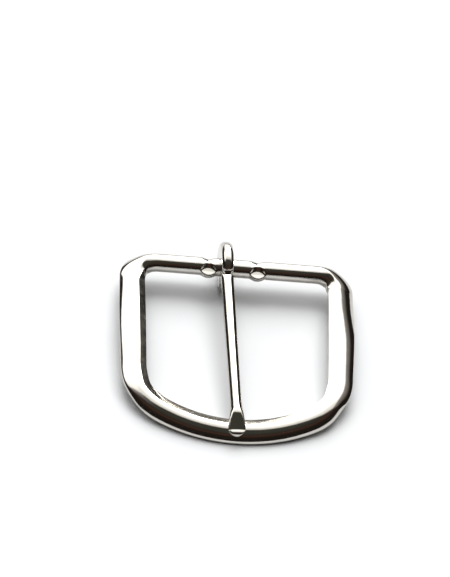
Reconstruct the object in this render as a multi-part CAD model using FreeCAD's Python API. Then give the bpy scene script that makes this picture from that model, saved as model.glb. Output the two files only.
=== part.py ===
import FreeCAD, Part
import math
import os
from FreeCAD import Vector, Rotation, Placement, Matrix

# Heel-bar belt buckle, millimetres.
# Origin: centre of the heel bar. X runs along the bar, the bow lies toward -Y, +Z is the show side.

os.makedirs("parts", exist_ok=True)

# ---------------------------------------------------------------- driving dimensions
BAR_RADIUS = 2.15            # heel bar, round
HALF_SPAN = 24.75            # bar centre to the middle of an arm, measured at the bar
ARM_LEAN = 1.25              # degrees each arm turns inward toward the bow
HEEL_CORNER_RADIUS = 3.65    # path radius where the bar turns into an arm
BOW_CORNER_RADIUS = 12.9     # path radius where an arm turns into the bow
BOW_RADIUS = 37.2            # path radius of the bow
REACH = 45.4                 # bar axis to the middle of the bow
ARM_WIDTH = 6.0
BOW_WIDTH = 5.75
CORNER_NARROWING = 0.65      # the casting is this much narrower in the bow's corners
CAST_THICKNESS = 2.95
STANCE_DROP = 3.25           # the bow lies this much lower than the underside of the bar
ARCH_RISE = 1.65             # lengthwise arch of the casting
INNER_DROP_ARM = 0.9         # height of the sloped inner wall, along the arms
INNER_DROP_BOW = 1.25        # the same, along the bow
INNER_SLOPE_ARM = 1.55       # plan width of the sloped inner wall, arms
INNER_SLOPE_BOW = 2.0        # the same, bow
CREST_FLAT_ARM = 0.45        # nearly level strip between the inner wall and the dome, arms
CREST_FLAT_BOW = 0.4        # the same, bow
CREST_DROP = 0.06            # the crisp inner edge lies this much below the crest
SIDE_HEIGHT_ARM = 1.45       # the domed outer face ends at this height, middle of the arms
SIDE_HEIGHT_BOW = 0.85       # the same, on the bow and next to the heel
SIDE_FLARE = 0.2             # and this far inside the outer edge
HEEL_ROUND_LENGTH = 18.0     # the rounder dome next to the heel dies out this far along the arm
OUTER_FOOT = 0.9             # the outer face curls under over this width
FOOT_BULGE = 0.15            # how far the curl's control point stands out and up
BAR_LEAD = 2.6               # the bar starts to change this far before the heel corner
INNER_BLEND_END = 3.0        # its inner side has become the arm this far after the corner's start
OUTER_BLEND_END = 6.4        # and its outer side this far
LEAD_STEPS = 3               # sections in the changing end of the bar
INNER_SPANS = 3              # section spans that belong to the inner side
STATION_STEPS = (5, 6, 5, 5) # sections in the heel corner, arm, bow corner and half bow

LIP_LENGTH = 1.85            # half lengths of a pinched lip: along the bar, forward, upward
LIP_REACH = 1.45
LIP_HEIGHT = 0.5
LIP_FORWARD = 1.9            # middle of a lip, forward of the bar's axis
LIP_RISE = 0.2               # and above it
LIP_FALL = 16.0              # degrees a lip falls toward its front
NOTCH_DEPTH = 0.55
NOTCH_HALF_WIDTH = 0.95
STOP_X = (-6.85, 4.75)       # middle of each pinched stop on the bar

PRONG_X = -2.86              # middle of the eye on the bar
PRONG_SKEW = 3.4             # degrees the prong is turned from square
EYE_WIDTH = 2.7
EYE_RADIUS = 5.7
EYE_BACK = 0.4               # the eye's outside is this far back of its bore
EYE_UP = 0.3                 # and this far up
EYE_EDGE = 0.5
BORE_CLEARANCE = 0.06
SEAM_WIDTH = 0.3
SEAM_ANGLE = -160.0          # degrees round the bore from +Y, so low on the side of the bow

# Prong stations: distance from the bar axis, width, top height, bottom height.
PRONG_STATIONS = (
    (3.2, 2.6, 3.75, -2.2),
    (4.7, 2.82, 3.1, -0.5),
    (6.8, 2.82, 2.82, 0.1),
    (12.7, 2.77, 2.35, -0.15),
    (23.4, 2.64, 1.5, -0.85),
    (33.1, 2.57, 0.75, -1.5),
    (39.2, 2.55, 0.28, -1.92),
    (42.2, 3.0, 0.1, -2.04),
    (43.6, 3.4, -0.42, -2.06),
    (45.0, 3.85, -1.2, -2.08),
    (46.2, 4.0, -1.85, -2.34),
    (47.0, 3.6, -2.05, -2.86),
    (47.5, 2.5, -2.5, -3.3),
)


# ---------------------------------------------------------------- the casting's path
def arm_direction():
    lean = math.radians(-ARM_LEAN)
    return Vector(math.sin(lean), -math.cos(lean), 0)


def arm_normal():
    along = arm_direction()
    return Vector(along.y, -along.x, 0)


def heel_centre():
    lean = math.radians(-ARM_LEAN)
    x = HALF_SPAN - HEEL_CORNER_RADIUS * (1 - math.sin(lean)) / math.cos(lean)
    return Vector(x, -HEEL_CORNER_RADIUS, 0)


def bow_centre():
    return Vector(0, -REACH + BOW_RADIUS, 0)


def bow_corner_centre():
    """Centre of the arc that is tangent to the arm and to the bow."""
    start = Vector(HALF_SPAN, 0, 0) + arm_normal() * BOW_CORNER_RADIUS
    gap = start - bow_centre()
    along = arm_direction()
    half = -gap.dot(along)
    rest = gap.dot(gap) - (BOW_RADIUS - BOW_CORNER_RADIUS) ** 2
    return start + along * (half + math.sqrt(half * half - rest))


def arc_station(centre, radius, angle):
    """Point on a path arc, with the direction that points out of the frame."""
    out = Vector(math.cos(angle), math.sin(angle), 0)
    return centre + out * radius, out


def smooth(value):
    held = min(max(value, 0.0), 1.0)
    return held * held * (3 - 2 * held)


def half_path():
    """Right-hand half of the path in order: (length, function of a 0-1 share)."""
    heel = heel_centre()
    corner = bow_corner_centre()
    out = arm_normal() * -1
    arm_angle = math.atan2(out.y, out.x)
    meet = corner - bow_centre()
    meet_angle = math.atan2(meet.y, meet.x)
    heel_end = heel + out * HEEL_CORNER_RADIUS
    corner_start = corner + out * BOW_CORNER_RADIUS

    def turn(centre, radius, first, last):
        length = radius * abs(last - first)
        return length, lambda share: arc_station(centre, radius, first + (last - first) * share)

    run = corner_start - heel_end
    return (
        turn(heel, HEEL_CORNER_RADIUS, math.pi / 2, arm_angle),
        (run.Length, lambda share: (heel_end + run * share, out)),
        turn(corner, BOW_CORNER_RADIUS, arm_angle, meet_angle),
        turn(bow_centre(), BOW_RADIUS, meet_angle, -math.pi / 2),
    )


def bar_shares(distance):
    """How much of the section is still bar, at its inner and outer side, past the corner's start."""
    ends = (INNER_BLEND_END, OUTER_BLEND_END)
    return [1 - smooth((distance + BAR_LEAD) / (BAR_LEAD + end)) for end in ends]


def path_stations():
    """Stations along the half path: (point, outward direction, shares of bar, bow and round dome)."""
    spans = half_path()
    heel_length = spans[0][0]
    corner_from = heel_length + spans[1][0]
    heel = Vector(heel_centre().x, 0, 0)
    rows = []
    for step in range(LEAD_STEPS):
        back = BAR_LEAD * (1 - step / LEAD_STEPS)
        rows.append((heel - Vector(back, 0, 0), Vector(0, 1, 0), bar_shares(-back), 0.0, 1.0))
    travelled = 0.0
    for index, (length, locate) in enumerate(spans):
        steps = STATION_STEPS[index]
        for step in range(1 if index else 0, steps + 1):
            point, outward = locate(step / steps)
            distance = travelled + length * step / steps
            bow_share = smooth((distance - corner_from) / spans[2][0])
            heel_share = 1 - smooth((distance - heel_length) / HEEL_ROUND_LENGTH)
            shares = bar_shares(distance)
            rows.append((point, outward, shares, bow_share, max(heel_share, bow_share)))
        travelled += length
    return rows


def underside(y):
    """Height of the casting's underside: even fall to the bow plus the lengthwise arch."""
    length = REACH + BOW_WIDTH / 2
    middle = 2 * y / length + 1
    arch = max(1 - middle * middle, 0) ** 2
    return -BAR_RADIUS + STANCE_DROP * y / length + ARCH_RISE * arch


# ---------------------------------------------------------------- cross sections
def mix(arm, bow, bow_share):
    return arm + (bow - arm) * bow_share


def cast_section(bow_share, round_share):
    """Corner and control points of a cast section: (start, control, weight), inside to outside."""
    narrowing = CORNER_NARROWING * math.sin(math.pi * bow_share) ** 2
    half = (mix(ARM_WIDTH, BOW_WIDTH, bow_share) - narrowing) / 2
    top = CAST_THICKNESS
    land = top - mix(INNER_DROP_ARM, INNER_DROP_BOW, bow_share)
    slope = mix(INNER_SLOPE_ARM, INNER_SLOPE_BOW, bow_share)
    edge = (-half + slope, top - CREST_DROP)
    knee = (-half + 0.48 * slope, land + 0.52 * (edge[1] - land))
    crest = edge[0] + mix(CREST_FLAT_ARM, CREST_FLAT_BOW, round_share)
    side_height = mix(SIDE_HEIGHT_ARM, SIDE_HEIGHT_BOW, round_share)
    side = half - SIDE_FLARE
    turn = math.atan2(top - side_height, side - crest)
    reach = (side - crest) / math.sin(2 * turn) * math.tan(turn)
    return (
        ((-half, 0), (-half, land / 2), 1.0),
        ((-half, land), knee, 0.9),
        (edge, ((edge[0] + crest) / 2, top), 1.0),
        ((crest, top), (crest + reach, top), math.cos(turn)),
        ((side, side_height), (half + FOOT_BULGE, FOOT_BULGE), 1.0),
        ((half - OUTER_FOOT, 0), (0, 0), 1.0),
    )


def bar_section():
    """The same six spans on the round bar, heights from the bar's underside."""
    corners = (225.0, 180.0, 125.0, 85.0, -20.0, -60.0, -135.0)
    rows = []
    for first, second in zip(corners, corners[1:]):
        half = math.radians((first - second) / 2)
        start = math.radians(first)
        middle = math.radians((first + second) / 2)
        reach = BAR_RADIUS / math.cos(half)
        at_start = (BAR_RADIUS * math.cos(start), BAR_RADIUS + BAR_RADIUS * math.sin(start))
        control = (reach * math.cos(middle), BAR_RADIUS + reach * math.sin(middle))
        rows.append((at_start, control, math.cos(half)))
    return rows


def placed(point, outward, bar_share, offset):
    """Put a section point (outward, height) on the path."""
    place = point + outward * offset[0]
    height = offset[1]
    arch_y = point.y + (1 - bar_share) * (place.y - point.y)
    return Vector(place.x, place.y, underside(arch_y) + height)


def blend(first, second, share):
    return (
        first[0] * share + second[0] * (1 - share),
        first[1] * share + second[1] * (1 - share),
    )


def station_wire(point, outward, inner_outer, bow_share, round_share):
    starts = []
    controls = []
    weights = []
    spans = zip(bar_section(), cast_section(bow_share, round_share))
    for index, (bar_row, cast_row) in enumerate(spans):
        bar_share = inner_outer[0] if index < INNER_SPANS else inner_outer[1]
        starts.append(placed(point, outward, bar_share, blend(bar_row[0], cast_row[0], bar_share)))
        controls.append(placed(point, outward, bar_share, blend(bar_row[1], cast_row[1], bar_share)))
        weights.append(bar_row[2] * bar_share + cast_row[2] * (1 - bar_share))
    edges = []
    for index in range(len(starts)):
        following = starts[(index + 1) % len(starts)]
        curve = Part.BezierCurve()
        curve.setPoles([starts[index], controls[index], following])
        curve.setWeight(2, weights[index])
        edges.append(curve.toShape())
    return Part.Wire(edges)


def mirrored(row):
    point, outward = row[:2]
    return (Vector(-point.x, point.y, 0), Vector(-outward.x, outward.y, 0)) + row[2:]


# ---------------------------------------------------------------- buckle frame
def pinched_lip(x):
    """Almond of metal raised from the front of the bar by the stop's notch."""
    matrix = Matrix()
    matrix.scale(LIP_LENGTH, LIP_REACH, LIP_HEIGHT)
    lip = Part.makeSphere(1.0).transformGeometry(matrix)
    centre = Vector(x, -LIP_FORWARD, LIP_RISE)
    lip.Placement = Placement(centre, Rotation(Vector(1, 0, 0), LIP_FALL))
    return lip


def pinch_notch(x):
    """V-shaped cut across the top of the bar."""
    floor = BAR_RADIUS - NOTCH_DEPTH
    above = BAR_RADIUS + 1
    spread = NOTCH_HALF_WIDTH * (above - floor) / NOTCH_DEPTH
    corners = (
        Vector(x, 3, floor),
        Vector(x + spread, 3, above),
        Vector(x - spread, 3, above),
        Vector(x, 3, floor),
    )
    wedge = Part.Face(Part.makePolygon(corners)).extrude(Vector(0, -4.2, 0))
    wedge.rotate(Vector(0, 0, 0), Vector(1, 0, 0), -18)
    return wedge


def make_frame():
    half = path_stations()
    whole = half + [mirrored(row) for row in reversed(half[:-1])]
    ring = Part.makeLoft([station_wire(*row) for row in whole], True, False, False)
    bar_end = half[0][0].x
    start = Vector(-bar_end, 0, 0)
    frame = Part.makeCylinder(BAR_RADIUS, 2 * bar_end, start, Vector(1, 0, 0)).fuse(ring)
    for x in STOP_X:
        frame = frame.cut(pinch_notch(x))
        frame = frame.fuse(pinched_lip(x))
    return frame.removeSplitter()


# ---------------------------------------------------------------- prong
def prong_wire(station):
    """Rounded bar section, upright, at a distance from the bar axis."""
    distance, width, top, bottom = station
    half = width / 2
    upper = min(0.3 * width, 0.45 * (top - bottom))
    lower = min(0.15 * width, 0.3 * (top - bottom))
    crown = 0.05 * width
    rows = (
        ((-half, bottom + lower), (-half, (top + bottom) / 2), 1.0),
        ((-half, top - upper), (-half, top - crown), 0.75),
        ((-half + upper, top - crown), (0, top + crown), 1.0),
        ((half - upper, top - crown), (half, top - crown), 0.75),
        ((half, top - upper), (half, (top + bottom) / 2), 1.0),
        ((half, bottom + lower), (half, bottom), 0.75),
        ((half - lower, bottom), (0, bottom), 1.0),
        ((-half + lower, bottom), (-half, bottom), 0.75),
    )
    edges = []
    for index, row in enumerate(rows):
        following = rows[(index + 1) % len(rows)][0]
        curve = Part.BezierCurve()
        poles = [row[0], row[1], following]
        curve.setPoles([Vector(across, -distance, height) for across, height in poles])
        curve.setWeight(2, row[2])
        edges.append(curve.toShape())
    return Part.Wire(edges)


def eye_blank():
    """Thick disc that becomes the eye, with its rims rounded."""
    start = Vector(-EYE_WIDTH / 2, EYE_BACK, EYE_UP)
    disc = Part.makeCylinder(EYE_RADIUS, EYE_WIDTH, start, Vector(1, 0, 0))
    rims = [edge for edge in disc.Edges if abs(edge.Length - 2 * math.pi * EYE_RADIUS) < 0.01]
    return disc.makeFillet(EYE_EDGE, rims)


def closing_seam():
    """Thin gap left where the eye was closed round the bar."""
    length = EYE_RADIUS + 2
    size = Vector(EYE_WIDTH + 4, length, SEAM_WIDTH)
    seam = Part.makeBox(size.x, size.y, size.z, Vector(-size.x / 2, 0, -size.z / 2))
    seam.rotate(Vector(0, 0, 0), Vector(1, 0, 0), SEAM_ANGLE)
    return seam


def make_prong():
    shank = Part.makeLoft([prong_wire(station) for station in PRONG_STATIONS], True, False, False)
    body = eye_blank().fuse(shank).cut(closing_seam())
    body.rotate(Vector(0, 0, 0), Vector(0, 0, 1), PRONG_SKEW)
    body.translate(Vector(PRONG_X, 0, 0))
    reach = 2 * EYE_WIDTH
    start = Vector(PRONG_X - reach, 0, 0)
    bore = Part.makeCylinder(BAR_RADIUS + BORE_CLEARANCE, 2 * reach, start, Vector(1, 0, 0))
    return body.cut(bore).removeSplitter()


make_frame().exportStep("parts/buckle_frame.step")
make_prong().exportStep("parts/prong.step")
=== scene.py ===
import math

import bpy
import numpy as np
from mathutils import Matrix, Vector

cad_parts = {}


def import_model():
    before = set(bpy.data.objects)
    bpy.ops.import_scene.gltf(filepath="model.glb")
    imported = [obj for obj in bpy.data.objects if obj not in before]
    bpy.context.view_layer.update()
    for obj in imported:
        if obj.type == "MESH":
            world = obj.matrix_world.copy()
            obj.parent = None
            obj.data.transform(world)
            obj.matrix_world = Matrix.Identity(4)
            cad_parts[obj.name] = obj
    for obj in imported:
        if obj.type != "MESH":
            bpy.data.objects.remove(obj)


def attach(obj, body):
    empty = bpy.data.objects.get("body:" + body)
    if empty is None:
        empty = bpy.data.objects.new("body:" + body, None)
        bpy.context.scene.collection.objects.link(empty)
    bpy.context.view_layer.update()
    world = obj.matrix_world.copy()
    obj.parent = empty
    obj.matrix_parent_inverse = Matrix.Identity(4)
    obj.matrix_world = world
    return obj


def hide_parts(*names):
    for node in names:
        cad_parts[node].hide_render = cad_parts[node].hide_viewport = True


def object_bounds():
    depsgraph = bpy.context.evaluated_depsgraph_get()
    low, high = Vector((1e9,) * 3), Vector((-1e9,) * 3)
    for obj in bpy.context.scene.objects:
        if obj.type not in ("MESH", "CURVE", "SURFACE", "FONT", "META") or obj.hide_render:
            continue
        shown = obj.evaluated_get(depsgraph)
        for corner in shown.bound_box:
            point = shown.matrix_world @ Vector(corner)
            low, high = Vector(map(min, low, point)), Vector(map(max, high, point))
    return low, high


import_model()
cad_box = [list(corner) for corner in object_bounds()]

MM = 0.001

# ---------------------------------------------------------------- the frame casting, mm
# The path and the section follow the CAD frame. Widths and thickness are a few hundredths smaller, so that
# the dense mesh stays inside its box.
BAR_RADIUS = 2.15
HALF_SPAN = 24.75              # bar centre to the middle of an arm, measured at the bar
ARM_LEAN = math.radians(1.25)  # each arm turns inward toward the bow
HEEL_RADIUS = 3.65             # path radius where the bar turns into an arm
CORNER_RADIUS = 12.9           # path radius where an arm turns into the bow
BOW_RADIUS = 37.2              # path radius of the bow
REACH = 45.4                   # bar axis to the middle of the bow
PATH_SPACING = 0.18            # from one section to the next
MIN_STEPS = 4                  # sections on the shortest stretch of the path
ARM_WIDTH, BOW_WIDTH = 5.96, 5.72
CORNER_NARROWING = 0.65        # the casting is this much narrower in the bow's corners
THICKNESS = 2.93
STANCE_DROP = 3.25             # the bow lies this much lower than the underside of the bar
ARCH_RISE = 1.65               # lengthwise arch of the casting
DROP_ARM, DROP_BOW = 0.9, 1.25         # height of the sloped inner wall
SLOPE_ARM, SLOPE_BOW = 1.55, 2.0       # plan width of the sloped inner wall
KNEE_ACROSS, KNEE_UP = 0.48, 0.52      # control point of the slope, as shares of its width and height
KNEE_WEIGHT = 0.9
FLAT_ARM, FLAT_BOW = 0.45, 0.4         # nearly level strip between the inner wall and the dome
SIDE_ARM, SIDE_BOW = 1.45, 0.85        # height where the domed outer face ends, middle of an arm and bow
CREST_DROP = 0.06              # the crisp inner edge lies this much below the crest
SIDE_FLARE = 0.2               # the dome ends this far inside the outer edge
HEEL_ROUND_LENGTH = 18.0       # the rounder dome next to the heel dies out this far along the arm
OUTER_FOOT = 0.9               # the outer face curls under over this width
FOOT_BULGE = 0.15              # how far the curl's control point stands out and up
BAR_LEAD = 2.6                 # the bar starts to change this far before the heel corner
INNER_BLEND_END = 3.0          # its inner side has become the arm this far after the corner's start
OUTER_BLEND_END = 6.4          # and its outer side this far
STOP_X = (-6.85, 4.75)         # middle of each pinched stop on the bar

# What differs between the two arms of the hand-polished casting. Pairs are left and right.
LEFT_ROUNDNESS = 0.15          # the left arm keeps this share of the rounder dome next to the heel
ARM_SWELL = (0.33, 0.34)       # each arm's outer edge stands out this much more halfway along
LEFT_CORNER_FILL = 0.3         # the left bow corner is this much fuller outside
RIGHT_BANK = 0.13              # the right arm's top leans outward by this slope at the heel
RIGHT_BANK_KEPT = 0.35         # and by this share of it halfway along
BANK_FROM = 1.3                # the lean starts this far inside the middle of the section
BOW_CORNER_FROM = 32.0         # the arms end this far from the bar's axis
HEEL_STEEPER = (0.6, 0.25)     # share by which the inner wall's slope is narrower at the heel corners
STEEPER_FROM = 2.5             # that share starts to fade this far from the bar's axis
STEEPER_FADE = 4.0             # and is gone after this length

# ---------------------------------------------------------------- the prong, mm
PRONG_X = -2.86                # middle of the eye on the bar
PRONG_SKEW = math.radians(3.4)  # the prong is turned this much from square
EYE_WIDTH = 2.68
EYE_RADIUS = 5.68
EYE_BACK, EYE_UP = 0.4, 0.3    # the eye's outside is this far back of its bore and up from it
BORE_RADIUS = 2.25             # a little looser than the CAD's, so that the turned eye clears the bar


def smooth(value):
    """0 to 1 with level ends, for a value from 0 to 1."""
    held = np.clip(value, 0.0, 1.0)
    return held * held * held * (held * (held * 6 - 15) + 10)


# ---------------------------------------------------------------- meshes
def grid_mesh(name, grid, close_rows):
    """Mesh from a grid of points (stations, points round the section, 3) in mm; sections are closed."""
    rows, count, _ = grid.shape
    vertices = (grid.reshape(-1, 3) * MM).tolist()
    faces = []
    for row in range(rows if close_rows else rows - 1):
        here, there = row * count, ((row + 1) % rows) * count
        for index in range(count):
            following = (index + 1) % count
            faces.append((here + index, here + following, there + following, there + index))
    if not close_rows:
        faces.append(tuple(range(count))[::-1])
        faces.append(tuple(range((rows - 1) * count, rows * count)))
    mesh = bpy.data.meshes.new(name)
    mesh.from_pydata(vertices, [], faces)
    mesh.update()
    mesh.shade_smooth()
    piece = bpy.data.objects.new(name, mesh)
    bpy.context.scene.collection.objects.link(piece)
    return piece


def vertex_values(piece, name, values):
    attribute = piece.data.attributes.new(name, "FLOAT", "POINT")
    attribute.data.foreach_set("value", np.asarray(values, float).ravel())


# ---------------------------------------------------------------- path of the casting
def path_half():
    """Right-hand half of the path from the bar's middle to the bow's middle, densely sampled."""
    along = np.array([math.sin(-ARM_LEAN), -math.cos(ARM_LEAN)])
    inward = np.array([along[1], -along[0]])
    heel_x = HALF_SPAN - HEEL_RADIUS * (1 - math.sin(-ARM_LEAN)) / math.cos(ARM_LEAN)
    heel = np.array([heel_x, -HEEL_RADIUS])
    bow = np.array([0.0, BOW_RADIUS - REACH])
    start = np.array([HALF_SPAN, 0.0]) + inward * CORNER_RADIUS
    gap = start - bow
    reach = -gap @ along
    rest = gap @ gap - (BOW_RADIUS - CORNER_RADIUS) ** 2
    corner = start + along * (reach + math.sqrt(reach * reach - rest))
    arm_angle = math.atan2(-inward[1], -inward[0])
    meet = corner - bow
    meet_angle = math.atan2(meet[1], meet[0])
    points, normals, distances = [], [], []
    travelled = 0.0

    def add_arc(centre, radius, first, last):
        nonlocal travelled
        length = radius * abs(last - first)
        steps = max(MIN_STEPS, int(length / PATH_SPACING))
        for angle in np.linspace(first, last, steps, endpoint=False):
            out = np.array([math.cos(angle), math.sin(angle)])
            points.append(centre + out * radius)
            normals.append(out)
            distances.append(travelled + radius * abs(angle - first))
        travelled += length

    def add_line(first, last, out):
        nonlocal travelled
        length = np.linalg.norm(last - first)
        steps = max(MIN_STEPS, int(length / PATH_SPACING))
        for share in np.linspace(0, 1, steps, endpoint=False):
            points.append(first + (last - first) * share)
            normals.append(out)
            distances.append(travelled + length * share)
        travelled += length

    add_line(np.array([0.0, 0.0]), np.array([heel_x, 0.0]), np.array([0.0, 1.0]))
    heel_from = travelled
    add_arc(heel, HEEL_RADIUS, math.pi / 2, arm_angle)
    heel_to = travelled
    add_line(heel - inward * HEEL_RADIUS, corner - inward * CORNER_RADIUS, -inward)
    corner_from = travelled
    add_arc(corner, CORNER_RADIUS, arm_angle, meet_angle)
    corner_to = travelled
    add_arc(bow, BOW_RADIUS, meet_angle, -math.pi / 2)
    points.append(np.array([0.0, -REACH]))
    normals.append(np.array([0.0, -1.0]))
    distances.append(travelled)
    distances = np.array(distances)
    inner_bar = 1 - smooth((distances - heel_from + BAR_LEAD) / (BAR_LEAD + INNER_BLEND_END))
    outer_bar = 1 - smooth((distances - heel_from + BAR_LEAD) / (BAR_LEAD + OUTER_BLEND_END))
    bar_share = np.stack([inner_bar, outer_bar], -1)
    bow_share = smooth((distances - corner_from) / (corner_to - corner_from))
    round_share = np.maximum(1 - smooth((distances - heel_to) / HEEL_ROUND_LENGTH), bow_share)
    return np.array(points), np.array(normals), bar_share, bow_share, round_share


def mirror_ring(values, flip=False):
    """The half path's values, then their mirror image back to the start, as a closed ring."""
    other = values[-2:0:-1].copy()
    if flip:
        other[:, 0] *= -1
    return np.concatenate([values, other])


# ---------------------------------------------------------------- cross sections
# A section has six spans: upright foot of the inner wall, slope, level strip, dome, curl, underside.
SPANS = (14, 24, 12, 44, 18, 14)      # points on each span
SPAN_BUNCHING = 0.11                  # how far the points gather toward the ends of a span
# Where the same six spans start on the round bar, degrees from outward, and where the last one ends.
BAR_CORNERS = (225.0, 180.0, 125.0, 85.0, -20.0, -60.0, -135.0)
INNER_POINTS = SPANS[0] + SPANS[1]
ALL_BAR = 0.999                       # above this share a station is still round bar all the way across


def curve_points(rows):
    """Rational quadratic spans sampled into one closed section; spans bunch up at their ends."""
    points = []
    for index, (start, control, weight) in enumerate(rows):
        following = rows[(index + 1) % len(rows)][0]
        steps = np.linspace(0, 1, SPANS[index], endpoint=False)
        steps = steps - SPAN_BUNCHING * np.sin(2 * np.pi * steps)
        first, second, third = (1 - steps) ** 2, 2 * weight * steps * (1 - steps), steps ** 2
        total = first + second + third
        u = (first * start[0] + second * control[0] + third * following[0]) / total
        z = (first * start[1] + second * control[1] + third * following[1]) / total
        points.append(np.stack([u, z], -1))
    return np.concatenate(points)


def bar_section():
    """The round bar, (outward, up), in the casting's six spans, so that one section turns into the other."""
    rows = []
    for first, second in zip(BAR_CORNERS, BAR_CORNERS[1:]):
        half = math.radians((first - second) / 2)
        start, middle = math.radians(first), math.radians((first + second) / 2)
        far = BAR_RADIUS / math.cos(half)
        rows.append(((BAR_RADIUS * math.cos(start), BAR_RADIUS * (1 + math.sin(start))),
                     (far * math.cos(middle), BAR_RADIUS + far * math.sin(middle)), math.cos(half)))
    return curve_points(rows)


def mix(first, second, share):
    return first + (second - first) * share


def cast_section(share, round_share, steeper):
    """The casting, (outward, up): share is 0 on the arms and 1 on the bow."""
    half = (mix(ARM_WIDTH, BOW_WIDTH, share) - CORNER_NARROWING * math.sin(math.pi * share) ** 2) / 2
    top = THICKNESS
    land = top - mix(DROP_ARM, DROP_BOW, share)
    slope = mix(SLOPE_ARM, SLOPE_BOW, share) * (1 - steeper)
    edge = (-half + slope, top - CREST_DROP)
    knee = (-half + KNEE_ACROSS * slope, land + KNEE_UP * (edge[1] - land))
    crest = edge[0] + mix(FLAT_ARM, FLAT_BOW, round_share)
    side_height = mix(SIDE_ARM, SIDE_BOW, round_share)
    side = half - SIDE_FLARE
    turn = math.atan2(top - side_height, side - crest)
    reach = (side - crest) / math.sin(2 * turn) * math.tan(turn)
    return curve_points((
        ((-half, 0), (-half, land / 2), 1.0),
        ((-half, land), knee, KNEE_WEIGHT),
        (edge, ((edge[0] + crest) / 2, top), 1.0),
        ((crest, top), (crest + reach, top), math.cos(turn)),
        ((side, side_height), (half + FOOT_BULGE, FOOT_BULGE), 1.0),
        ((half - OUTER_FOOT, 0), (0, 0), 1.0),
    ))


def underside(y):
    """Height of the casting's underside, lengthwise."""
    length = REACH + BOW_WIDTH / 2
    middle = 2 * y / length + 1
    return -BAR_RADIUS + STANCE_DROP * y / length + ARCH_RISE * np.maximum(1 - middle * middle, 0) ** 2


# Each stop is a chisel pinch: a notch over the top of the bar, a wall down its front, and an almond ledge
# with a lip that stands forward of the bar. Angles are degrees from straight up, toward the bow.
NOTCH_ANGLES, NOTCH_DEPTHS = (-110, -72, -49, -15, 14, 57, 70), (0, 0.33, 0.44, 0.46, 0.36, 0.08, 0)
NOTCH_MEETS_LEDGE = (57, 15)   # at the stop's ends and in its middle
NOTCH_STEP = 4
LIP_ANGLES, LIP_SWELL = (100, 107, 122, 150), (0.95, 0.76, 0.3, 0)
LIP_STEP = 6
LIP_END = 152
STOP_HALF = 1.85               # half length of the almond ledge along the bar
ALMOND_POWER = 0.8             # 1 would give a parabola's outline, less gives blunter ends
NOTCH_HALF = 1.75              # half length of the notch along the bar
NOTCH_POWER = 1.15
LEDGE_MEETS_BAR = 2.03         # forward of the bar's axis, at the stop's ends
LEDGE_BACK = 1.2               # back and tip of the ledge in the stop's middle
LEDGE_TIP = 3.02
LEDGE_HEIGHT = 1.02            # at the ledge's back
LEDGE_FALL = 0.33
LEDGE_LOWEST = 0.45            # the ledge is dished, lowest at this share from back to tip
LEDGE_DISH = 0.06
LIP_ROUND = (0.12, 0.2)        # the lip's nose: forward of the tip and below it
LIP_DEPTH = 0.75
LIP_TUCK = 0.02                # the lip's foot is this far forward of the tip
NOSE_DROP, FOOT_DROP = 0.02, 0.04      # nose and foot keep this distance below the tip where the almond ends


def ledge_height(forward):
    return LEDGE_HEIGHT - LEDGE_FALL * (forward - LEDGE_BACK)


def polar(angle, radius):
    return radius * math.sin(math.radians(angle)), radius * math.cos(math.radians(angle))


def stop_outline(almond, notch):
    """Outline of the pinched bar, (toward the bow, height); 0 at the stop's ends to 1 in its middle."""
    rows = []
    for angle in np.arange(NOTCH_ANGLES[0], mix(*NOTCH_MEETS_LEDGE, almond), NOTCH_STEP):
        rows.append(polar(angle, BAR_RADIUS - notch * np.interp(angle, NOTCH_ANGLES, NOTCH_DEPTHS)))
    back = mix(LEDGE_MEETS_BAR, LEDGE_BACK, almond)
    tip = mix(LEDGE_MEETS_BAR, LEDGE_TIP, almond)
    middle = mix(back, tip, LEDGE_LOWEST)
    rows.append((back, ledge_height(back)))
    rows.append((middle, ledge_height(middle) - LEDGE_DISH * almond))
    rows.append((tip, ledge_height(tip)))
    rows.append((tip + LIP_ROUND[0] * almond, ledge_height(tip) - LIP_ROUND[1] * almond - NOSE_DROP))
    rows.append((tip + LIP_TUCK * almond, ledge_height(tip) - LIP_DEPTH * almond - FOOT_DROP))
    last = math.degrees(math.atan2(*rows[-1]))
    for angle in np.arange(last + LIP_STEP, LIP_END, LIP_STEP):
        rows.append(polar(angle, BAR_RADIUS + almond * np.interp(angle, LIP_ANGLES, LIP_SWELL)))
    return np.array(rows)


def outline_radius(corners, angles):
    """Distance from the axis to the outline, for angles from straight up toward the bow."""
    corner_angles = np.degrees(np.arctan2(corners[:, 0], corners[:, 1]))
    radii = np.full(len(angles), BAR_RADIUS)
    for index in range(len(corners) - 1):
        first, second = corners[index], corners[index + 1]
        inside = (angles >= corner_angles[index]) & (angles < corner_angles[index + 1])
        ray = np.stack([np.sin(np.radians(angles[inside])), np.cos(np.radians(angles[inside]))], -1)
        edge = second - first
        across = ray[:, 0] * edge[1] - ray[:, 1] * edge[0]
        radii[inside] = (first[0] * edge[1] - first[1] * edge[0]) / across
    return radii


def pinch(section, x):
    """Bar section at x, with the stop's notch and lip where x is near a stop."""
    forward, height = -section[:, 0], section[:, 1] - BAR_RADIUS
    angles = np.degrees(np.arctan2(forward, height))
    result = section.copy()
    for stop in STOP_X:
        offset = abs(x - stop)
        if offset >= STOP_HALF:
            continue
        almond = (1 - (offset / STOP_HALF) ** 2) ** ALMOND_POWER
        notch = max(0.0, 1 - offset / NOTCH_HALF) ** NOTCH_POWER
        radius = outline_radius(stop_outline(almond, notch), angles)
        result[:, 0] = -radius * np.sin(np.radians(angles))
        result[:, 1] = BAR_RADIUS + radius * np.cos(np.radians(angles))
    return result


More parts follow.
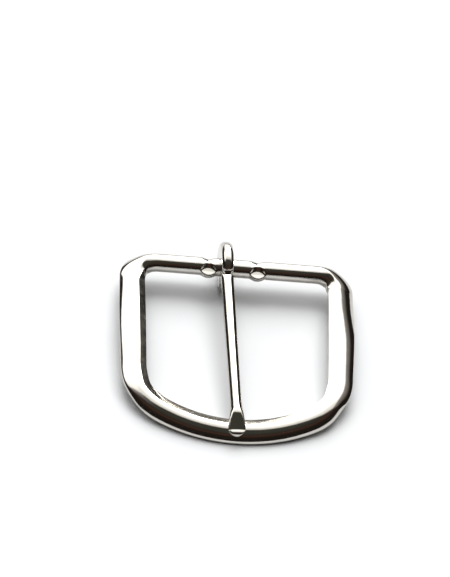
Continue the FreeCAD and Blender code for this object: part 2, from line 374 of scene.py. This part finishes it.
def arm_differences(points, bar_share, bow_share, round_share):
    """At each station: roundness of the dome, outward lean, swell and steeper inner wall."""
    left = points[:, 0] < 0
    dome = np.where(left, np.maximum(bow_share ** 3, LEFT_ROUNDNESS * round_share), round_share)
    kept = RIGHT_BANK_KEPT + (1 - RIGHT_BANK_KEPT) * dome
    lean = np.where(left, 0.0, RIGHT_BANK * kept * (1 - bow_share) * (1 - bar_share[:, 1]))
    along_arm = np.clip(-points[:, 1] / BOW_CORNER_FROM, 0, 1)
    swell = np.where(left, *ARM_SWELL) * np.sin(math.pi * along_arm) ** 2 * (1 - bow_share)
    swell += np.where(left, LEFT_CORNER_FILL * np.sin(math.pi * bow_share) ** 2, 0.0)
    steeper = np.where(left, *HEEL_STEEPER) * (1 - smooth((-points[:, 1] - STEEPER_FROM) / STEEPER_FADE))
    return dome, lean, swell, steeper


def outer_weights():
    """For each point of a section: 0 on the inner side, 1 on the outer, blended over top and underside."""
    weights = np.ones(sum(SPANS))
    weights[:INNER_POINTS] = 0
    weights[INNER_POINTS:INNER_POINTS + SPANS[2]] = smooth(np.linspace(0, 1, SPANS[2]))
    weights[-SPANS[5]:] = np.linspace(1, 0, SPANS[5])
    return weights


def make_buckle():
    points, normals, *shares = path_half()
    points, normals = mirror_ring(points, True), mirror_ring(normals, True)
    bar_share, bow_share, round_share = [mirror_ring(share) for share in shares]
    differences = arm_differences(points, bar_share, bow_share, round_share)
    round_bar = bar_section()
    outer_side = outer_weights()[:, None]
    rows = []
    stations = zip(points, normals, bar_share, bow_share, *differences)
    for point, out, bar, bow, dome, lean, grow, steep in stations:
        section = pinch(round_bar, point[0]) if bar[1] > ALL_BAR else round_bar
        bar = bar[0] + (bar[1] - bar[0]) * outer_side
        cast = cast_section(bow, dome, steep)
        cast[:, 1] -= lean * np.maximum(cast[:, 0] + BANK_FROM, 0) * cast[:, 1] / THICKNESS
        cast[:, 0] += grow * np.clip(cast[:, 0] / (ARM_WIDTH / 2), 0, 1)
        section = section * bar + cast * (1 - bar)
        place = point + section[:, :1] * out
        arch_y = point[1] + (1 - bar[:, 0]) * (place[:, 1] - point[1])
        rows.append(np.column_stack([place, underside(arch_y) + section[:, 1]]))
    piece = grid_mesh("buckle_casting", np.array(rows), True)
    # painted dark reflection: mask over the left arm's inner wall, where the material darkens the colour
    painted_dark_share = np.where(points[:, 0] < 0, 1 - bar_share[:, 0], 0) * (1 - bow_share)
    inner_side = np.where(np.arange(sum(SPANS)) < INNER_POINTS, 1.0, 0.0)
    vertex_values(piece, "painted_dark_wall", np.outer(painted_dark_share, inner_side))
    return piece


# ---------------------------------------------------------------- shape of the prong
# Shank: distance from the bar axis, width, top height, underside height.
SHANK = (
    (5.0, 2.8, 3.03, -0.62),
    (6.8, 2.8, 2.82, 0.1),
    (12.7, 2.75, 2.35, -0.15),
    (23.4, 2.62, 1.5, -0.85),
    (33.1, 2.55, 0.75, -1.5),
    (38.9, 2.5, 0.32, -1.9),
    (41.0, 2.68, 0.19, -2.01),
    (42.0, 2.9, 0.12, -2.03),
    (42.5, 3.04, 0.0, -2.04),
    (43.0, 3.18, -0.22, -2.04),
    (44.0, 3.55, -0.76, -2.05),
    (45.0, 3.84, -1.33, -2.07),
    (45.8, 3.96, -1.8, -2.24),
    (46.3, 3.98, -2.08, -2.4),
    (46.6, 3.98, -2.16, -2.55),
    (47.48, 3.98, -2.3, -3.3),
)
SHANK_START = 6.0             # the shank leaves the eye this far from the bar's axis
NOSE_FROM, NOSE_TO = 46.0, 47.48       # the tip's rounded nose
BOWL_STATIONS = (NOSE_TO - 0.001, 42.9, 60)  # from, to and how many, over the flared tip
SHANK_STATIONS = (42.7, SHANK_START, 90)
NOSE_THINNEST, NOSE_LOWEST = 0.05, 0.08  # shares of the width and height left at its very end
BOWL_FROM = 41.5              # the bevels change from the shank's to the bowl's from here
BOWL_LENGTH = 2.5             # over this length
BEVEL_START = math.radians(25)
BEVEL_END = math.radians(41)
BEVEL_ROUND = 0.14            # radius of the edge between bevel and side
SHANK_BEVEL, EYE_BEVEL, BOWL_BEVEL = 0.82, 0.72, 0.3
BEVEL_FULL_WIDTH = 2.3        # narrower sections have narrower bevels
BEVEL_LIMIT = 0.8             # a bevel takes at most this share of half the width
LEFT_STEEPER = 1.35           # the left bevel is ground this much steeper
CROWN = 0.06                  # fall of the top toward the bevels, as a share of the flat's half width
FULL_DEPTH = (1.1, 0.6)       # thinner than this, plus this share of the bevel, the bevels flatten
LOW_ROUND = 0.3               # radius of the lower edges, and the share of the depth it may take
LOW_ROUND_LIMIT = 0.5         # and the share of half the width
FLAT_POINTS, BEVEL_POINTS, EDGE_POINTS, LOW_POINTS = 12, 8, 6, 7
JOIN_STEPS = 26               # sections where the shank turns into the eye
JOIN_LENGTH = 1.35
JOIN_BORE = (8, 14)           # degrees round the bore: where the join starts, and how far it turns
GROOVE_ANGLE = 45.1           # the crease between eye and shank, degrees round the bore
GROOVE_DEPTH = 0.09
GROOVE_SPREAD = 1.3
# Sections round the eye, closer together at the crease: first and last angle and how many.
EYE_TURNS = ((29, 42, 8), (42.6, 47.6, 11), (48.5, 338, 140))


def monotone(xs, ys, x):
    """Monotone cubic interpolation."""
    steps = np.diff(xs)
    slopes = np.diff(ys) / steps
    tangents = np.concatenate([[slopes[0]], (slopes[:-1] + slopes[1:]) / 2, [slopes[-1]]])
    for index, slope in enumerate(slopes):
        if index and slopes[index - 1] * slope <= 0:
            tangents[index] = 0
    span = int(np.clip(np.searchsorted(xs, x) - 1, 0, len(steps) - 1))
    share = (x - xs[span]) / steps[span]
    h00 = (1 + 2 * share) * (1 - share) ** 2
    h10 = share * (1 - share) ** 2
    h01 = share * share * (3 - 2 * share)
    h11 = share * share * (share - 1)
    return h00 * ys[span] + h10 * steps[span] * tangents[span] + h01 * ys[span + 1] \
        + h11 * steps[span] * tangents[span + 1]


def shank_values(distance):
    """Width, top height and underside height at a distance from the bar's axis."""
    rows = np.array(SHANK)
    return [monotone(rows[:, 0], rows[:, column], distance) for column in (1, 2, 3)]


def lower_edge(across, up, radius, first, last):
    """One rounded lower edge of the prong's section."""
    angles = np.linspace(first, last, LOW_POINTS)
    return [(across + radius * math.cos(angle), up + radius * math.sin(angle)) for angle in angles]


def prong_section(width, depth, bevel):
    """Closed section, (across, up from the top): slightly crowned top, long bevels, upright sides."""
    half = width / 2
    bevel = min(bevel, BEVEL_LIMIT * half)
    squash = min(1.0, depth / (FULL_DEPTH[0] + FULL_DEPTH[1] * bevel))
    radius = (bevel - BEVEL_ROUND * (1 - math.sin(BEVEL_END))) / (math.sin(BEVEL_END) - math.sin(BEVEL_START))
    flat = half - bevel
    crown = CROWN * flat
    top = [(flat * share, -crown * share * share) for share in np.linspace(-1, 1, FLAT_POINTS)]
    right = []
    for angle in np.linspace(BEVEL_START, BEVEL_END, BEVEL_POINTS)[1:]:
        right.append((flat + radius * (math.sin(angle) - math.sin(BEVEL_START)),
                      -crown - radius * (math.cos(BEVEL_START) - math.cos(angle)) * squash))
    base = right[-1]
    for angle in np.linspace(BEVEL_END, math.pi / 2, EDGE_POINTS)[1:]:
        right.append((base[0] + BEVEL_ROUND * (math.sin(angle) - math.sin(BEVEL_END)),
                      base[1] - BEVEL_ROUND * (math.cos(BEVEL_END) - math.cos(angle)) * squash))
    left = [(-across, LEFT_STEEPER * height) for across, height in right]
    low = min(LOW_ROUND, LOW_ROUND * depth, LOW_ROUND_LIMIT * half)
    lower_right = lower_edge(half - low, -depth + low, low, -math.pi / 2, 0)
    lower_left = lower_edge(-half + low, -depth + low, low, math.pi, 1.5 * math.pi)
    return np.array(lower_right + right[::-1] + top[::-1] + left + lower_left)


def prong_row(top, low, width, bevel):
    """One section of the prong, hung between its top point and its low point."""
    top, low = np.array(top), np.array(low)
    depth = np.linalg.norm(top - low)
    direction = (top - low) / depth
    section = prong_section(width, depth, bevel)
    place = top + section[:, 1:] * direction
    return np.column_stack([section[:, 0], place[:, 0], place[:, 1]])


def shank_rows():
    """From the tip to the start of the shank."""
    rows = []
    for distance in np.concatenate([np.linspace(*BOWL_STATIONS), np.linspace(*SHANK_STATIONS)]):
        width, top, low = shank_values(distance)
        if distance > NOSE_FROM:
            cap = math.sqrt(max(0.0, 1 - ((distance - NOSE_FROM) / (NOSE_TO - NOSE_FROM)) ** 2))
            width *= max(cap, NOSE_THINNEST)
            top = low + (top - low) * max(math.sqrt(1 - (1 - cap * cap) ** 2), NOSE_LOWEST)
        bevel = mix(SHANK_BEVEL, BOWL_BEVEL, min(1.0, max(0.0, (distance - BOWL_FROM) / BOWL_LENGTH)))
        bevel *= min(1.0, width / BEVEL_FULL_WIDTH)
        rows.append(prong_row((-distance, top), (-distance, low), width, bevel))
    return rows


def join_rows():
    """Shank into eye: the sections turn from upright to pointing at the bar's axis."""
    rows = []
    low_point = np.array([-SHANK_START, shank_values(SHANK_START)[2]])
    for share in np.linspace(0, 1, JOIN_STEPS)[1:]:
        distance = SHANK_START - JOIN_LENGTH * share
        width, top, _ = shank_values(max(distance, SHANK[0][0]))
        bore = math.radians(JOIN_BORE[0] + JOIN_BORE[1] * share)
        bore_point = np.array([-BORE_RADIUS * math.cos(bore), BORE_RADIUS * math.sin(bore)])
        low = low_point * (1 - share) + bore_point * share
        rows.append(prong_row((-distance, top), low, width, mix(SHANK_BEVEL, EYE_BEVEL, share)))
    return rows


def eye_rows():
    """Round the bar, from the shank over the top and back underneath to the seam."""
    rows = []
    centre = np.array([EYE_BACK, EYE_UP])
    for turn in np.concatenate([np.linspace(*turns) for turns in EYE_TURNS]):
        angle = math.radians(turn)
        direction = np.array([-math.cos(angle), math.sin(angle)])
        reach = direction @ centre + math.sqrt((direction @ centre) ** 2 - centre @ centre + EYE_RADIUS ** 2)
        reach -= GROOVE_DEPTH * math.exp(-((turn - GROOVE_ANGLE) / GROOVE_SPREAD) ** 2)
        rows.append(prong_row(direction * reach, direction * BORE_RADIUS, EYE_WIDTH, EYE_BEVEL))
    return rows


def make_prong():
    grid = np.array(shank_rows() + join_rows() + eye_rows())
    turned = grid.copy()
    turned[..., 0] = grid[..., 0] * math.cos(PRONG_SKEW) - grid[..., 1] * math.sin(PRONG_SKEW) + PRONG_X
    turned[..., 1] = grid[..., 0] * math.sin(PRONG_SKEW) + grid[..., 1] * math.cos(PRONG_SKEW)
    return grid_mesh("prong_casting", turned[::-1], False)


# ---------------------------------------------------------------- materials
def link(tree, source, target):
    tree.links.new(source, target)


# Each noise: scale, detail, roughness.
TINT_NOISE = (260, 4, 0.5)
GLOSS_NOISE = (700, 5, 0.6)
# the next noise lays the painted dark reflection on the left arm's inner wall in mottled patches
DARK_PATCH_NOISE = (900, 4, 0.6)
WAVE_NOISE = (330, 1.5, 0.5)
GRAIN_NOISE = (2600, 3, 0.5)
TINT_RANGE = (0.3, 0.75)               # noise values with the darker and the lighter tint
NICKEL_DARKER, NICKEL_LIGHTER = (0.52, 0.50, 0.46, 1), (0.60, 0.575, 0.535, 1)
# painted dark reflection: tone laid on the left arm's inner wall in place of the dark room it mirrors
NICKEL_PAINTED_DARK = (0.12, 0.115, 0.1, 1)
GLOSS_RANGE = (0.05, 0.13)             # roughness of the polished plate
DARK_WALL_ROUGHER = 0.1                     # added on the inner wall that carries the painted dark reflection
DARK_PATCH_RANGE = (0.35, 0.65)              # noise values between which the painted dark patches grow
DARK_PATCH_AMOUNT = (0.45, 1.0)
WAVE_HEIGHT, GRAIN_HEIGHT = 0.00004, 0.000006  # metres
BUMP_STRENGTH = 0.5


def nickel(name, paint_dark_wall):
    """Bright nickel plate over a hand-polished casting; when asked, with a painted dark reflection on the
    frame's left inner wall.
    """
    material = bpy.data.materials.new(name)
    material.use_nodes = True
    tree = material.node_tree
    shader = tree.nodes["Principled BSDF"]
    shader.inputs["Metallic"].default_value = 1.0
    place = tree.nodes.new("ShaderNodeTexCoord").outputs["Object"]

    def noise(scale, detail, roughness):
        node = tree.nodes.new("ShaderNodeTexNoise")
        node.inputs["Scale"].default_value = scale
        node.inputs["Detail"].default_value = detail
        node.inputs["Roughness"].default_value = roughness
        link(tree, place, node.inputs["Vector"])
        return node.outputs["Fac"]

    def bump(height, source):
        node = tree.nodes.new("ShaderNodeBump")
        node.inputs["Distance"].default_value = height
        node.inputs["Strength"].default_value = BUMP_STRENGTH
        link(tree, source, node.inputs["Height"])
        return node

    tint = tree.nodes.new("ShaderNodeValToRGB")
    tint.color_ramp.elements[0].position, tint.color_ramp.elements[1].position = TINT_RANGE
    tint.color_ramp.elements[0].color = NICKEL_DARKER
    tint.color_ramp.elements[1].color = NICKEL_LIGHTER
    link(tree, noise(*TINT_NOISE), tint.inputs["Fac"])
    colour = tint.outputs["Color"]

    gloss = tree.nodes.new("ShaderNodeMapRange")
    gloss.inputs["To Min"].default_value, gloss.inputs["To Max"].default_value = GLOSS_RANGE
    link(tree, noise(*GLOSS_NOISE), gloss.inputs["Value"])
    rough = gloss.outputs["Result"]
    # painted dark reflection: the inner wall's colour is mixed toward a dark tone in mottled patches,
    # standing in for the dark room it mirrors; the wall is also made a little rougher
    if paint_dark_wall:
        wall = tree.nodes.new("ShaderNodeAttribute")
        wall.attribute_name = "painted_dark_wall"
        extra = tree.nodes.new("ShaderNodeMath")
        extra.operation = "MULTIPLY_ADD"
        extra.inputs[1].default_value = DARK_WALL_ROUGHER
        link(tree, wall.outputs["Fac"], extra.inputs[0])
        link(tree, rough, extra.inputs[2])
        rough = extra.outputs[0]
        painted_dark = tree.nodes.new("ShaderNodeMix")
        painted_dark.data_type = "RGBA"
        share = tree.nodes.new("ShaderNodeMath")
        share.operation = "MULTIPLY"
        link(tree, wall.outputs["Fac"], share.inputs[0])
        dark_patches = tree.nodes.new("ShaderNodeMapRange")
        dark_patches.inputs["From Min"].default_value, dark_patches.inputs["From Max"].default_value = DARK_PATCH_RANGE
        dark_patches.inputs["To Min"].default_value, dark_patches.inputs["To Max"].default_value = DARK_PATCH_AMOUNT
        link(tree, noise(*DARK_PATCH_NOISE), dark_patches.inputs["Value"])
        link(tree, dark_patches.outputs["Result"], share.inputs[1])
        link(tree, share.outputs[0], painted_dark.inputs["Factor"])
        link(tree, colour, painted_dark.inputs["A"])
        painted_dark.inputs["B"].default_value = NICKEL_PAINTED_DARK
        colour = painted_dark.outputs["Result"]
    link(tree, colour, shader.inputs["Base Color"])
    link(tree, rough, shader.inputs["Roughness"])

    waves = bump(WAVE_HEIGHT, noise(*WAVE_NOISE))
    grain = bump(GRAIN_HEIGHT, noise(*GRAIN_NOISE))
    link(tree, waves.outputs["Normal"], grain.inputs["Normal"])
    link(tree, grain.outputs["Normal"], shader.inputs["Normal"])
    return material


FLOOR_COLOUR = (0.46, 0.47, 0.483, 1)
FLOOR_ROUGHNESS = 0.9
FLOOR_SPECULAR = 0.1


def floor_material():
    """Plain pale matt floor."""
    material = bpy.data.materials.new("studio_floor")
    material.use_nodes = True
    shader = material.node_tree.nodes["Principled BSDF"]
    shader.inputs["Base Color"].default_value = FLOOR_COLOUR
    shader.inputs["Roughness"].default_value = FLOOR_ROUGHNESS
    shader.inputs["Specular IOR Level"].default_value = FLOOR_SPECULAR
    return material


# ---------------------------------------------------------------- pieces
casting = make_buckle()
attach(casting, "frame")
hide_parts("buckle_frame")
casting.data.materials.append(nickel("frame_nickel_plate", paint_dark_wall=True))

tongue = make_prong()
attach(tongue, "prong")
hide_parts("prong")
tongue.data.materials.append(nickel("prong_nickel_plate", paint_dark_wall=False))

# ---------------------------------------------------------------- floor
FLOOR_HALF = 2.5               # metres
FLOOR_SIDES = ((-1, -1), (1, -1), (1, 1), (-1, 1))
floor_z = cad_box[0][2]
floor_corners = [(FLOOR_HALF * across, FLOOR_HALF * along, floor_z) for across, along in FLOOR_SIDES]
floor_mesh = bpy.data.meshes.new("studio_floor")
floor_mesh.from_pydata(floor_corners, [], [(0, 1, 2, 3)])
floor = bpy.data.objects.new("studio_floor", floor_mesh)
bpy.context.scene.collection.objects.link(floor)
floor.data.materials.append(floor_material())


# ---------------------------------------------------------------- light
# The panel is laid out on a level plane one unit overhead: side is toward +X, depth toward +Y, away from the
# bow. Each edge is where the light starts and where it is full, or where it starts to fall and is gone.
PANEL_LEFT, PANEL_RIGHT = (-2.4, -1.8), (0.9, 1.2)
PANEL_FRONT, PANEL_BACK = (-0.2, -0.05), (6.0, 10.0)
BRIGHTER_FROM = (-0.05, 0.35)          # depth over which the panel brightens
FRONT_BRIGHTNESS, BACK_BRIGHTNESS = 0.9, 2.1
LAMP_LEFT, LAMP_RIGHT = (-0.7, -0.2), (0.3, 0.8)
LAMP_FRONT, LAMP_BACK = (0.35, 0.75), (1.8, 2.6)
LAMP_STRENGTH = 13.0
SPILL_RIGHT = (0.9, 2.7)               # weak light past the panel's right edge
SPILL_STRENGTH = 0.36
CORNER_LEFT, CORNER_RIGHT = (-2.4, -1.2), (-0.75, -0.3)
CORNER_FRONT = (-0.5, -0.05)           # weak light in front of the panel's left part
CORNER_STRENGTH = 0.5
LOWEST_HEIGHT = 0.001                  # keeps the division by height finite at the horizon
PANEL_COLOUR = (1.0, 0.99, 0.975)
# The dark room, from the horizon to straight overhead: height of the direction, colour.
ROOM_BANDS = (
    (0.0, (0.018, 0.014, 0.012, 1)),
    (0.3, (0.02, 0.015, 0.012, 1)),
    (0.52, (0.03, 0.022, 0.017, 1)),
    (0.62, (0.085, 0.04, 0.028, 1)),
    (0.72, (0.045, 0.035, 0.028, 1)),
    (0.86, (0.06, 0.06, 0.05, 1)),
    (1.0, (0.062, 0.062, 0.05, 1)),
)


def studio_world():
    """A dark room with one very large soft panel behind and overhead."""
    world = bpy.data.worlds.new("studio")
    bpy.context.scene.world = world
    world.use_nodes = True
    tree = world.node_tree
    background = tree.nodes["Background"]
    direction = tree.nodes.new("ShaderNodeTexCoord").outputs["Generated"]
    parts = tree.nodes.new("ShaderNodeSeparateXYZ")
    link(tree, direction, parts.inputs[0])

    def maths(operation, *values):
        node = tree.nodes.new("ShaderNodeMath")
        node.operation = operation
        for socket, value in zip(node.inputs, values):
            if isinstance(value, (int, float)):
                socket.default_value = value
            else:
                link(tree, value, socket)
        return node.outputs[0]

    def inside(value, edge):
        """0 before the edge, 1 past it."""
        node = tree.nodes.new("ShaderNodeMapRange")
        node.interpolation_type = "SMOOTHSTEP"
        node.inputs["From Min"].default_value, node.inputs["From Max"].default_value = edge
        link(tree, value, node.inputs["Value"])
        return node.outputs["Result"]

    def before(value, edge):
        """1 before the edge, 0 past it."""
        return maths("SUBTRACT", 1.0, inside(value, edge))

    height = maths("MAXIMUM", parts.outputs["Z"], LOWEST_HEIGHT)
    side = maths("DIVIDE", parts.outputs["X"], height)
    depth = maths("DIVIDE", parts.outputs["Y"], height)

    along = maths("MULTIPLY", inside(depth, PANEL_FRONT), before(depth, PANEL_BACK))
    bounds = maths("MULTIPLY", inside(side, PANEL_LEFT), along)
    panel = maths("MULTIPLY", bounds, before(side, PANEL_RIGHT))
    spill = maths("MULTIPLY", bounds, before(side, SPILL_RIGHT))
    rise = BACK_BRIGHTNESS - FRONT_BRIGHTNESS
    level = maths("MULTIPLY_ADD", inside(depth, BRIGHTER_FROM), rise, FRONT_BRIGHTNESS)
    lamp_across = maths("MULTIPLY", inside(side, LAMP_LEFT), before(side, LAMP_RIGHT))
    lamp_along = maths("MULTIPLY", inside(depth, LAMP_FRONT), before(depth, LAMP_BACK))
    lamp = maths("MULTIPLY_ADD", maths("MULTIPLY", lamp_across, lamp_along), LAMP_STRENGTH, level)
    panel_light = maths("MULTIPLY_ADD", spill, SPILL_STRENGTH, maths("MULTIPLY", panel, lamp))
    corner_across = maths("MULTIPLY", inside(side, CORNER_LEFT), before(side, CORNER_RIGHT))
    corner = maths("MULTIPLY", inside(depth, CORNER_FRONT), corner_across)
    total = maths("MULTIPLY_ADD", corner, CORNER_STRENGTH, panel_light)

    room = tree.nodes.new("ShaderNodeValToRGB")
    stops = room.color_ramp.elements
    while len(stops) < len(ROOM_BANDS):
        stops.new(ROOM_BANDS[len(stops) - 1][0])
    for stop, (position, colour) in zip(stops, ROOM_BANDS):
        stop.position, stop.color = position, colour
    link(tree, parts.outputs["Z"], room.inputs["Fac"])
    scaled = tree.nodes.new("ShaderNodeVectorMath")
    scaled.operation = "SCALE"
    scaled.inputs[0].default_value = PANEL_COLOUR
    link(tree, total, scaled.inputs["Scale"])
    sum_light = tree.nodes.new("ShaderNodeVectorMath")
    sum_light.operation = "ADD"
    link(tree, scaled.outputs[0], sum_light.inputs[0])
    link(tree, room.outputs["Color"], sum_light.inputs[1])
    link(tree, sum_light.outputs[0], background.inputs["Color"])
    background.inputs["Strength"].default_value = 1.0


studio_world()
bpy.context.scene.view_settings.view_transform = "Standard"

# ---------------------------------------------------------------- camera
CAMERA_AZIMUTH = math.radians(-9.4)
CAMERA_ELEVATION = math.radians(50.1)
CAMERA_ROLL = math.radians(11.54)
# Metres, but for the sensor, which is in millimetres along the picture's height.
CAMERA_DISTANCE = 0.9
VIEW_HEIGHT = 0.133103         # height of the picture where the buckle lies
LOOK_AT = Vector((0, -0.024, 0))
AIM_RIGHT, AIM_UP = 0.0029827, -0.013737  # how far right of and above the picture's middle LOOK_AT lies
CLIP_NEAR, CLIP_FAR = 0.01, 20
SENSOR = 36.0


def make_camera():
    data = bpy.data.cameras.new("camera")
    camera = bpy.data.objects.new("camera", data)
    bpy.context.scene.collection.objects.link(camera)
    bpy.context.scene.camera = camera
    data.sensor_width = SENSOR
    data.lens = SENSOR * CAMERA_DISTANCE / VIEW_HEIGHT
    data.clip_start, data.clip_end = CLIP_NEAR, CLIP_FAR
    azimuth, elevation, roll = CAMERA_AZIMUTH, CAMERA_ELEVATION, CAMERA_ROLL
    back = Vector((math.sin(azimuth) * math.cos(elevation), -math.cos(azimuth) * math.cos(elevation),
                   math.sin(elevation)))
    level = Vector((math.cos(azimuth), math.sin(azimuth), 0))
    upright = back.cross(level)
    right = level * math.cos(roll) + upright * math.sin(roll)
    up = upright * math.cos(roll) - level * math.sin(roll)
    camera.location = LOOK_AT + back * CAMERA_DISTANCE
    behind = (back * CAMERA_DISTANCE + right * AIM_RIGHT + up * AIM_UP).normalized()
    right = up.cross(behind).normalized()
    up = behind.cross(right)
    camera.rotation_mode = "QUATERNION"
    camera.rotation_quaternion = Matrix((right, up, behind)).transposed().to_quaternion()


make_camera()
